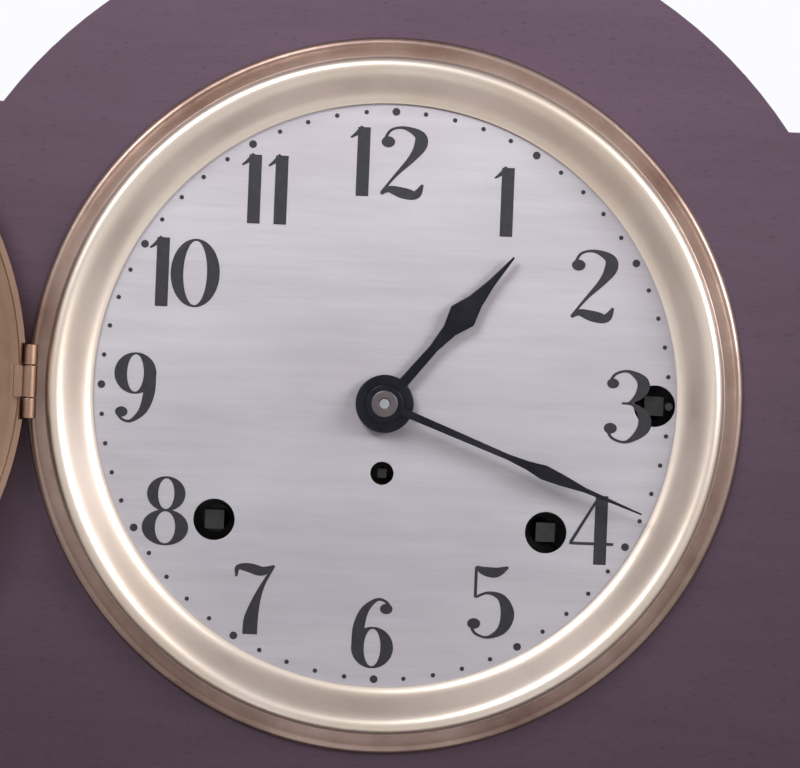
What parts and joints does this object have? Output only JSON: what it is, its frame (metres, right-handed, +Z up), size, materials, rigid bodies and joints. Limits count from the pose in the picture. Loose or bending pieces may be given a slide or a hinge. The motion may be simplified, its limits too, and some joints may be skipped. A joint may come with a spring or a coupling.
{
  "type": "beehive clock",
  "caption": "Dark mahogany mantel clock with a round arched top on swept shoulders, brass ringed silvered dial, glazed bezel door swung open and a chiming movement.",
  "frame": {"origin": "centre of the underside of the base board, on the table", "axes": "+Z up, the dial faces -Y, +X to the right as seen from the front"},
  "size_m": [0.3956, 0.1818, 0.281],
  "materials": {
    "mahogany": "French-polished dark mahogany veneer",
    "dark_mahogany": "dark stained and polished",
    "brass": "polished and lacquered",
    "movement_brass": "machined, fine grain",
    "silvered_brass": "silvered, brushed straight across",
    "steel": "bright turned steel",
    "spring_steel": "tempered blue-grey",
    "blued_steel": "blued nearly black",
    "iron": "cast, dark",
    "glass": "clear domed glass"
  },
  "bodies": {
    "case": {"base_board": "dark_mahogany", "base_moulding": "dark_mahogany", "case_front": "mahogany", "case_side_left": "mahogany", "case_side_right": "mahogany", "case_top": "mahogany", "back_panel": "mahogany", "back_hinges": "brass", "dial_ring": "brass", "dial_plate": "silvered_brass", "bezel_hinge": "brass", "front_plate": "movement_brass", "back_plate": "movement_brass", "pillars": "movement_brass", "movement_straps": "steel", "fasteners": "steel", "rod_block": "iron", "chime_rods": "steel", "suspension_cock": "movement_brass", "hammer_frame": "movement_brass"},
    "bezel_door": {"bezel_ring": "brass", "bezel_glass": "glass", "glass_retainer": "brass"},
    "rear_door": {"back_door": "mahogany", "back_door_leaves": "brass"},
    "latch": {"back_latch": "brass"},
    "minute_arbor": {"cannon_pinion": "movement_brass", "minute_hand": "blued_steel", "hand_nut": "brass"},
    "minute_work": {"minute_wheel": "movement_brass"},
    "hour_pipe": {"hour_wheel": "movement_brass", "hour_hand": "blued_steel"},
    "time_drive": {"time_barrel": "movement_brass", "time_mainspring": "spring_steel"},
    "time_winder": {"time_arbor": "steel"},
    "time_second": {"time_second_wheel": "movement_brass"},
    "centre": {"centre_wheel": "movement_brass"},
    "third": {"third_wheel": "movement_brass"},
    "escape": {"escape_wheel": "movement_brass"},
    "anchor": {"verge": "steel"},
    "pendulum": {"pendulum_rod": "steel", "pendulum_bob": "movement_brass"},
    "rating": {"rating_nut": "movement_brass"},
    "strike_drive": {"strike_barrel": "movement_brass", "strike_mainspring": "spring_steel"},
    "strike_winder": {"strike_arbor": "steel"},
    "strike_second": {"strike_second_wheel": "movement_brass"},
    "fly": {"strike_fly": "steel"},
    "strike_hammer_arm": {"strike_hammer": "movement_brass"},
    "chime_drive": {"chime_barrel": "movement_brass", "chime_mainspring": "spring_steel"},
    "chime_winder": {"chime_arbor": "steel"},
    "chime_second": {"chime_second_wheel": "movement_brass"},
    "pin_drum": {"chime_drum": "movement_brass"},
    "hammer_1": {"chime_hammer_1": "movement_brass"},
    "hammer_2": {"chime_hammer_2": "movement_brass"},
    "hammer_3": {"chime_hammer_3": "movement_brass"},
    "hammer_4": {"chime_hammer_4": "movement_brass"},
    "regulator": {"regulator_arbor": "steel"}
  },
  "joints": [
    {"name": "bezel_swing", "type": "hinge", "parent": "case", "child": "bezel_door", "pos_m": [-0.085, -0.0755, 0.165], "axis": [0, 0, 1], "range_deg": [0, 170]},
    {"name": "rear_door_swing", "type": "hinge", "parent": "case", "child": "rear_door", "pos_m": [0.0695, 0.0718, 0.12], "axis": [0, 0, -1], "range_deg": [0, 110]},
    {"name": "latch_turn", "type": "hinge", "parent": "case", "child": "latch", "pos_m": [-0.078, 0.071, 0.12], "axis": [0, 1, 0], "range_deg": [0, 90]},
    {"name": "hand_setting", "type": "hinge", "parent": "case", "child": "minute_arbor", "pos_m": [0, -0.065, 0.163], "axis": [0, 1, 0], "continuous": true},
    {"name": "minute_wheel_spin", "type": "hinge", "parent": "case", "child": "minute_work", "pos_m": [-0.012, -0.06, 0.163], "axis": [0, 1, 0], "continuous": true},
    {"name": "hour_spin", "type": "hinge", "parent": "case", "child": "hour_pipe", "pos_m": [0, -0.065, 0.163], "axis": [0, 1, 0], "continuous": true},
    {"name": "third_wheel_spin", "type": "hinge", "parent": "case", "child": "third", "pos_m": [-0.00719, -0.033, 0.18029], "axis": [0, 1, 0], "continuous": true},
    {"name": "centre_wheel_spin", "type": "hinge", "parent": "case", "child": "centre", "pos_m": [0, -0.033, 0.163], "axis": [0, 1, 0], "continuous": true},
    {"name": "escape_wheel_spin", "type": "hinge", "parent": "case", "child": "escape", "pos_m": [0, -0.033, 0.196], "axis": [0, 1, 0], "continuous": true},
    {"name": "time_second_spin", "type": "hinge", "parent": "case", "child": "time_second", "pos_m": [0.02112, -0.033, 0.15525], "axis": [0, 1, 0], "continuous": true},
    {"name": "time_barrel_spin", "type": "hinge", "parent": "case", "child": "time_drive", "pos_m": [0.04, -0.033, 0.1335], "axis": [0, 1, 0], "continuous": true},
    {"name": "time_winding", "type": "hinge", "parent": "case", "child": "time_winder", "pos_m": [0.04, -0.033, 0.1335], "axis": [0, 1, 0], "continuous": true},
    {"name": "pendulum_swing", "type": "hinge", "parent": "case", "child": "pendulum", "pos_m": [0, -0.005, 0.2085], "axis": [0, 1, 0], "range_deg": [-4, 4]},
    {"name": "verge_rock", "type": "hinge", "parent": "case", "child": "anchor", "pos_m": [0, -0.033, 0.2085], "axis": [0, 1, 0], "range_deg": [-4, 4]},
    {"name": "rating_turn", "type": "hinge", "parent": "pendulum", "child": "rating", "pos_m": [0, -0.005, 0.082], "axis": [0, 0, 1], "continuous": true},
    {"name": "strike_second_spin", "type": "hinge", "parent": "case", "child": "strike_second", "pos_m": [-0.03255, -0.033, 0.16132], "axis": [0, 1, 0], "continuous": true},
    {"name": "strike_barrel_spin", "type": "hinge", "parent": "case", "child": "strike_drive", "pos_m": [-0.04, -0.033, 0.1335], "axis": [0, 1, 0], "continuous": true},
    {"name": "fly_spin", "type": "hinge", "parent": "case", "child": "fly", "pos_m": [-0.03611, -0.033, 0.18151], "axis": [0, 1, 0], "continuous": true},
    {"name": "strike_winding", "type": "hinge", "parent": "case", "child": "strike_winder", "pos_m": [-0.04, -0.033, 0.1335], "axis": [0, 1, 0], "continuous": true},
    {"name": "strike_hammer_lift", "type": "hinge", "parent": "case", "child": "strike_hammer_arm", "pos_m": [-0.056, 0.048, 0.161], "axis": [0, -1, 0], "range_deg": [0, 15]},
    {"name": "chime_second_spin", "type": "hinge", "parent": "case", "child": "chime_second", "pos_m": [0.05283, -0.033, 0.1911], "axis": [0, 1, 0], "continuous": true},
    {"name": "chime_barrel_spin", "type": "hinge", "parent": "case", "child": "chime_drive", "pos_m": [0.065, -0.033, 0.165], "axis": [0, 1, 0], "continuous": true},
    {"name": "chime_drum_spin", "type": "hinge", "parent": "case", "child": "pin_drum", "pos_m": [0.03309, -0.033, 0.18392], "axis": [0, 1, 0], "continuous": true},
    {"name": "chime_winding", "type": "hinge", "parent": "case", "child": "chime_winder", "pos_m": [0.065, -0.033, 0.165], "axis": [0, 1, 0], "continuous": true},
    {"name": "chime_hammer_1_lift", "type": "hinge", "parent": "case", "child": "hammer_1", "pos_m": [0.056, 0.012, 0.161], "axis": [0, 1, 0], "range_deg": [0, 15]},
    {"name": "chime_hammer_2_lift", "type": "hinge", "parent": "case", "child": "hammer_2", "pos_m": [0.056, 0.021, 0.161], "axis": [0, 1, 0], "range_deg": [0, 15]},
    {"name": "chime_hammer_3_lift", "type": "hinge", "parent": "case", "child": "hammer_3", "pos_m": [0.056, 0.03, 0.161], "axis": [0, 1, 0], "range_deg": [0, 15]},
    {"name": "chime_hammer_4_lift", "type": "hinge", "parent": "case", "child": "hammer_4", "pos_m": [0.056, 0.039, 0.161], "axis": [0, 1, 0], "range_deg": [0, 15]},
    {"name": "regulator_turn", "type": "hinge", "parent": "case", "child": "regulator", "pos_m": [0, -0.06, 0.1462], "axis": [0, 1, 0], "range_deg": [-180, 180]}
  ],
  "couplings": [
    {"joint": "minute_wheel_spin", "follows": "hand_setting", "ratio": -0.33333},
    {"joint": "hour_spin", "follows": "hand_setting", "ratio": 0.083333},
    {"joint": "centre_wheel_spin", "follows": "third_wheel_spin", "ratio": -0.083333},
    {"joint": "escape_wheel_spin", "follows": "third_wheel_spin", "ratio": -12.5},
    {"joint": "time_second_spin", "follows": "third_wheel_spin", "ratio": 0.010417},
    {"joint": "time_barrel_spin", "follows": "third_wheel_spin", "ratio": -0.0014881},
    {"joint": "verge_rock", "follows": "pendulum_swing", "ratio": 1},
    {"joint": "strike_barrel_spin", "follows": "strike_second_spin", "ratio": -0.14286},
    {"joint": "fly_spin", "follows": "strike_second_spin", "ratio": -7.2},
    {"joint": "chime_barrel_spin", "follows": "chime_second_spin", "ratio": -0.14286},
    {"joint": "chime_drum_spin", "follows": "chime_second_spin", "ratio": -6}
  ]
}
